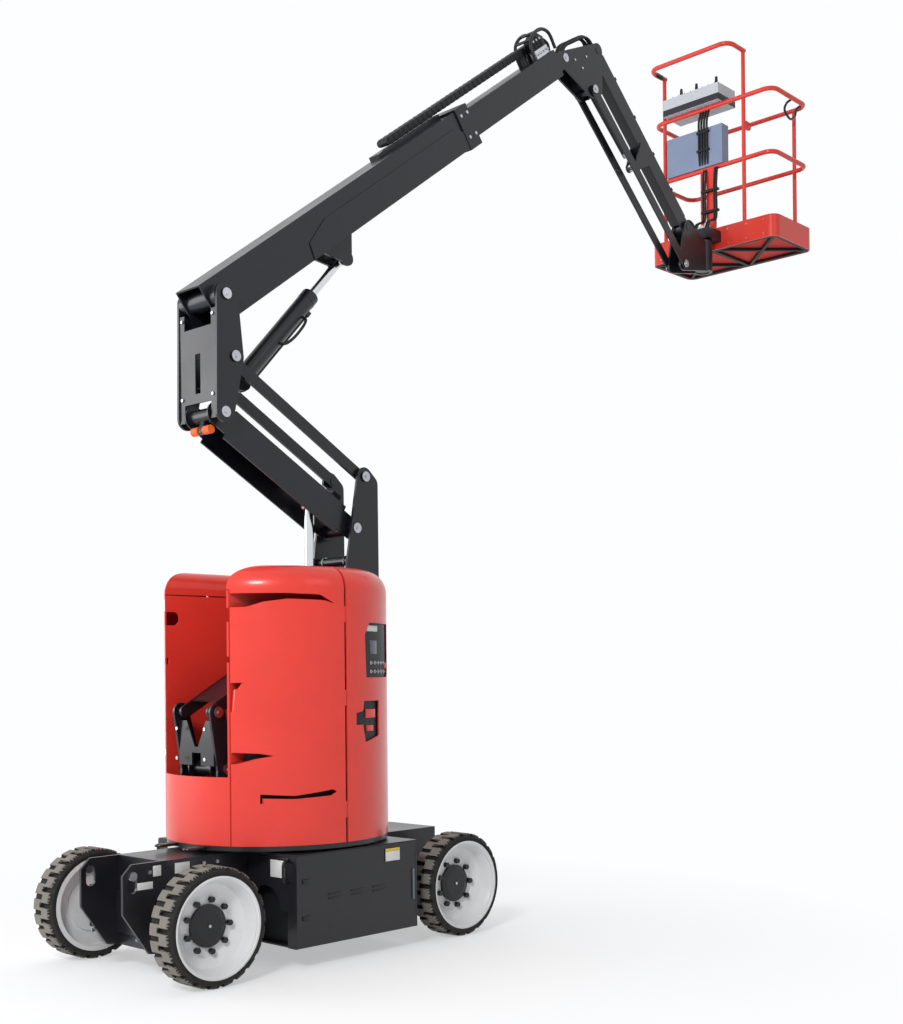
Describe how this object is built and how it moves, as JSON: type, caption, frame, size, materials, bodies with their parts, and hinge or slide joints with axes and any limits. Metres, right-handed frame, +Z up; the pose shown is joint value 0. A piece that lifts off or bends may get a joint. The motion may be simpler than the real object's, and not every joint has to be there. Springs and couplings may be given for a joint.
{
  "type": "articulating boom lift",
  "caption": "Self-propelled articulating boom lift with a slewing turntable, a folding two-stage riser, a telescopic boom, a parallelogram jib and a rotating work basket.",
  "frame": {"origin": "On the ground plane, under the slewing axis midway between the axles.", "axes": "+X points from the steer axle towards the drive axle and the basket, +Y is the machine's left side, +Z is up."},
  "size_m": [5.9175, 1.191, 6.1167],
  "materials": {
    "tyre_rubber": "moulded rubber",
    "wheel_white": "gloss white paint",
    "cover_red": "moulded gloss red-orange",
    "basket_red": "powder coat red-orange",
    "rod_chrome": "hard chrome",
    "tie_steel": "zinc plated",
    "weight_iron": "painted casting",
    "control_grey": "light grey moulding",
    "panel_black": "black moulding",
    "floor_black": "black powder coat",
    "frame_navy": "near-black navy paint"
  },
  "bodies": {
    "chassis": {"chassis_frame": "frame_navy", "side_box_r": "frame_navy", "side_box_l": "frame_navy", "battery_r": "panel_black", "battery_l": "panel_black", "drive_axle": "frame_navy"},
    "battery_door_r": {"battery_door_r": "frame_navy"},
    "battery_door_l": {"battery_door_l": "frame_navy"},
    "knuckle_r": {"knuckle_r": "frame_navy"},
    "knuckle_l": {"knuckle_l": "frame_navy"},
    "tie_rod": {"tie_rod": "tie_steel"},
    "wheel_fr": {"wheel_fr": "wheel_white", "tyre_fr": "tyre_rubber"},
    "wheel_fl": {"wheel_fl": "wheel_white", "tyre_fl": "tyre_rubber"},
    "wheel_rr": {"wheel_rr": "wheel_white", "tyre_rr": "tyre_rubber"},
    "wheel_rl": {"wheel_rl": "wheel_white", "tyre_rl": "tyre_rubber"},
    "turntable": {"turntable_deck": "frame_navy", "counterweight": "weight_iron", "base_bracket": "frame_navy", "tail_panel": "cover_red", "cover_front_r": "cover_red", "cover_front_l": "cover_red", "ground_controls": "panel_black"},
    "hood_r": {"hood_r": "cover_red"},
    "hood_l": {"hood_l": "cover_red"},
    "riser_lower_arm": {"riser_lower_arm": "frame_navy"},
    "riser_lower_link": {"riser_lower_link": "frame_navy"},
    "mid_upright": {"mid_upright": "frame_navy"},
    "riser_upper_arm": {"riser_upper_arm": "frame_navy"},
    "riser_upper_link": {"riser_upper_link": "frame_navy"},
    "upper_upright": {"upper_upright": "frame_navy"},
    "riser_barrel": {"riser_barrel": "frame_navy"},
    "riser_rod": {"riser_rod": "rod_chrome"},
    "boom_outer": {"boom_outer": "frame_navy"},
    "boom_barrel": {"boom_barrel": "frame_navy"},
    "boom_rod": {"boom_rod": "rod_chrome"},
    "boom_fly": {"boom_fly": "frame_navy", "hose_carrier": "frame_navy"},
    "boom_head": {"boom_head": "frame_navy"},
    "jib_arm": {"jib_arm": "frame_navy"},
    "jib_link": {"jib_link": "frame_navy"},
    "jib_barrel": {"jib_barrel": "frame_navy"},
    "jib_rod": {"jib_rod": "rod_chrome"},
    "platform_bracket": {"platform_bracket": "frame_navy"},
    "platform": {"rotator": "frame_navy", "basket_floor": "floor_black", "toe_board": "basket_red", "guard_rails": "basket_red", "guard_posts": "basket_red", "lanyard_anchor": "basket_red", "control_box": "control_grey", "tool_tray": "control_grey"}
  },
  "joints": [
    {"name": "slew", "type": "hinge", "parent": "chassis", "child": "turntable", "pos_m": [0, 0, 0.563], "axis": [0, 0, 1], "range_deg": [-179.5, 179.5]},
    {"name": "steer", "type": "hinge", "parent": "chassis", "child": "knuckle_r", "pos_m": [-0.825, -0.383, 0.2795], "axis": [0, 0, 1], "range_deg": [-40, 40]},
    {"name": "steer_left", "type": "hinge", "parent": "chassis", "child": "knuckle_l", "pos_m": [-0.825, 0.383, 0.2795], "axis": [0, 0, 1], "range_deg": [-41, 41]},
    {"name": "tie_rod_shift", "type": "slide", "parent": "chassis", "child": "tie_rod", "axis": [0, 1, 0], "range_m": [-0.12, 0.12]},
    {"name": "spin_fr", "type": "hinge", "parent": "knuckle_r", "child": "wheel_fr", "pos_m": [-0.825, -0.5125, 0.2795], "axis": [0, 1, 0], "continuous": true},
    {"name": "spin_fl", "type": "hinge", "parent": "knuckle_l", "child": "wheel_fl", "pos_m": [-0.825, 0.5125, 0.2795], "axis": [0, 1, 0], "continuous": true},
    {"name": "spin_rr", "type": "hinge", "parent": "chassis", "child": "wheel_rr", "pos_m": [0.825, -0.5125, 0.2795], "axis": [0, 1, 0], "continuous": true},
    {"name": "spin_rl", "type": "hinge", "parent": "chassis", "child": "wheel_rl", "pos_m": [0.825, 0.5125, 0.2795], "axis": [0, 1, 0], "continuous": true},
    {"name": "battery_door_right", "type": "hinge", "parent": "chassis", "child": "battery_door_r", "pos_m": [0.4477, -0.58, 0.3], "axis": [0, 0, 1], "range_deg": [0, 100]},
    {"name": "battery_door_left", "type": "hinge", "parent": "chassis", "child": "battery_door_l", "pos_m": [0.4477, 0.58, 0.3], "axis": [0, 0, -1], "range_deg": [0, 100]},
    {"name": "hood_right", "type": "hinge", "parent": "turntable", "child": "hood_r", "pos_m": [-0.03, -0.579, 1.32], "axis": [0, 0, 1], "range_deg": [0, 95]},
    {"name": "hood_left", "type": "hinge", "parent": "turntable", "child": "hood_l", "pos_m": [-0.03, 0.579, 1.32], "axis": [0, 0, -1], "range_deg": [0, 95]},
    {"name": "riser", "type": "hinge", "parent": "turntable", "child": "riser_lower_arm", "pos_m": [-0.447, 0, 0.966], "axis": [0, -1, 0], "range_deg": [-39, 36]},
    {"name": "riser_lower_link_pivot", "type": "hinge", "parent": "turntable", "child": "riser_lower_link", "pos_m": [-0.507, 0, 1.254], "axis": [0, -1, 0], "range_deg": [-40, 37]},
    {"name": "mid_upright_pivot", "type": "hinge", "parent": "riser_lower_arm", "child": "mid_upright", "pos_m": [0.44934, 0, 1.4835], "axis": [0, -1, 0], "range_deg": [-37, 40]},
    {"name": "riser_upper_pivot", "type": "hinge", "parent": "mid_upright", "child": "riser_upper_arm", "pos_m": [0.44934, 0, 2.2415], "axis": [0, -1, 0], "range_deg": [-37, 40]},
    {"name": "riser_upper_link_pivot", "type": "hinge", "parent": "mid_upright", "child": "riser_upper_link", "pos_m": [0.50934, 0, 2.5295], "axis": [0, -1, 0], "range_deg": [-37, 40]},
    {"name": "upper_upright_pivot", "type": "hinge", "parent": "riser_upper_arm", "child": "upper_upright", "pos_m": [-0.447, 0, 2.759], "axis": [0, -1, 0], "range_deg": [-40, 37]},
    {"name": "riser_barrel_pivot", "type": "hinge", "parent": "riser_lower_arm", "child": "riser_barrel", "pos_m": [0.23283, 0, 1.3585], "axis": [0, -1, 0], "range_deg": [-37, 40]},
    {"name": "riser_rod_slide", "type": "slide", "parent": "riser_barrel", "child": "riser_rod", "axis": [0, 0, 1], "range_m": [-0.28, 0.26]},
    {"name": "boom_lift", "type": "hinge", "parent": "upper_upright", "child": "boom_outer", "pos_m": [-0.441, 0, 3.352], "axis": [0, -1, 0], "range_deg": [-37.3, 37.7]},
    {"name": "boom_barrel_pivot", "type": "hinge", "parent": "upper_upright", "child": "boom_barrel", "pos_m": [-0.25, 0, 2.95], "axis": [0, -1, 0], "range_deg": [-32.33, 32.67]},
    {"name": "boom_rod_slide", "type": "slide", "parent": "boom_barrel", "child": "boom_rod", "axis": [0.6691, 0, 0.7432], "range_m": [-0.27, 0.275]},
    {"name": "telescope", "type": "slide", "parent": "boom_outer", "child": "boom_fly", "axis": [0.7955, 0, 0.606], "range_m": [-0.78, 0.44]},
    {"name": "boom_head_pivot", "type": "hinge", "parent": "boom_fly", "child": "boom_head", "pos_m": [2.41096, 0, 5.49947], "axis": [0, -1, 0], "range_deg": [-39, 39]},
    {"name": "jib_lift", "type": "hinge", "parent": "boom_head", "child": "jib_arm", "pos_m": [2.78496, 0, 5.67747], "axis": [0, 1, 0], "range_deg": [-111.6, 20.4]},
    {"name": "jib_link_pivot", "type": "hinge", "parent": "boom_head", "child": "jib_link", "pos_m": [2.72496, 0, 5.38747], "axis": [0, 1, 0], "range_deg": [-112.6, 21.4]},
    {"name": "jib_barrel_pivot", "type": "hinge", "parent": "boom_head", "child": "jib_barrel", "pos_m": [2.78496, 0, 5.41747], "axis": [0, 1, 0], "range_deg": [-109.25, 20.79]},
    {"name": "jib_rod_slide", "type": "slide", "parent": "jib_barrel", "child": "jib_rod", "axis": [0.7683, 0, -0.6401], "range_m": [-0.07, 0.36]},
    {"name": "platform_level_pivot", "type": "hinge", "parent": "jib_arm", "child": "platform_bracket", "pos_m": [3.85805, 0, 4.72474], "axis": [0, 1, 0], "range_deg": [-21.4, 112.6]},
    {"name": "platform_rotate", "type": "hinge", "parent": "platform_bracket", "child": "platform", "pos_m": [4.13805, 0, 4.64474], "axis": [0, 0, 1], "range_deg": [-90, 90]}
  ],
  "couplings": [
    {"joint": "steer_left", "follows": "steer", "ratio": 1},
    {"joint": "tie_rod_shift", "follows": "steer", "m_per_rad": 0.147},
    {"joint": "riser_lower_link_pivot", "follows": "riser", "ratio": 1},
    {"joint": "mid_upright_pivot", "follows": "riser", "ratio": -1},
    {"joint": "riser_upper_pivot", "follows": "riser", "ratio": -1},
    {"joint": "riser_upper_link_pivot", "follows": "riser", "ratio": -1},
    {"joint": "upper_upright_pivot", "follows": "riser", "ratio": 1},
    {"joint": "riser_barrel_pivot", "follows": "riser", "ratio": -1},
    {"joint": "riser_rod_slide", "follows": "riser", "m_per_rad": 0.4},
    {"joint": "boom_barrel_pivot", "follows": "boom_lift", "ratio": 0.84},
    {"joint": "boom_rod_slide", "follows": "boom_lift", "m_per_rad": 0.405},
    {"joint": "boom_head_pivot", "follows": "boom_lift", "ratio": -1},
    {"joint": "jib_link_pivot", "follows": "jib_lift", "ratio": 1},
    {"joint": "jib_barrel_pivot", "follows": "jib_lift", "ratio": 0.97},
    {"joint": "jib_rod_slide", "follows": "jib_lift", "m_per_rad": -0.18},
    {"joint": "platform_level_pivot", "follows": "jib_lift", "ratio": -1}
  ]
}
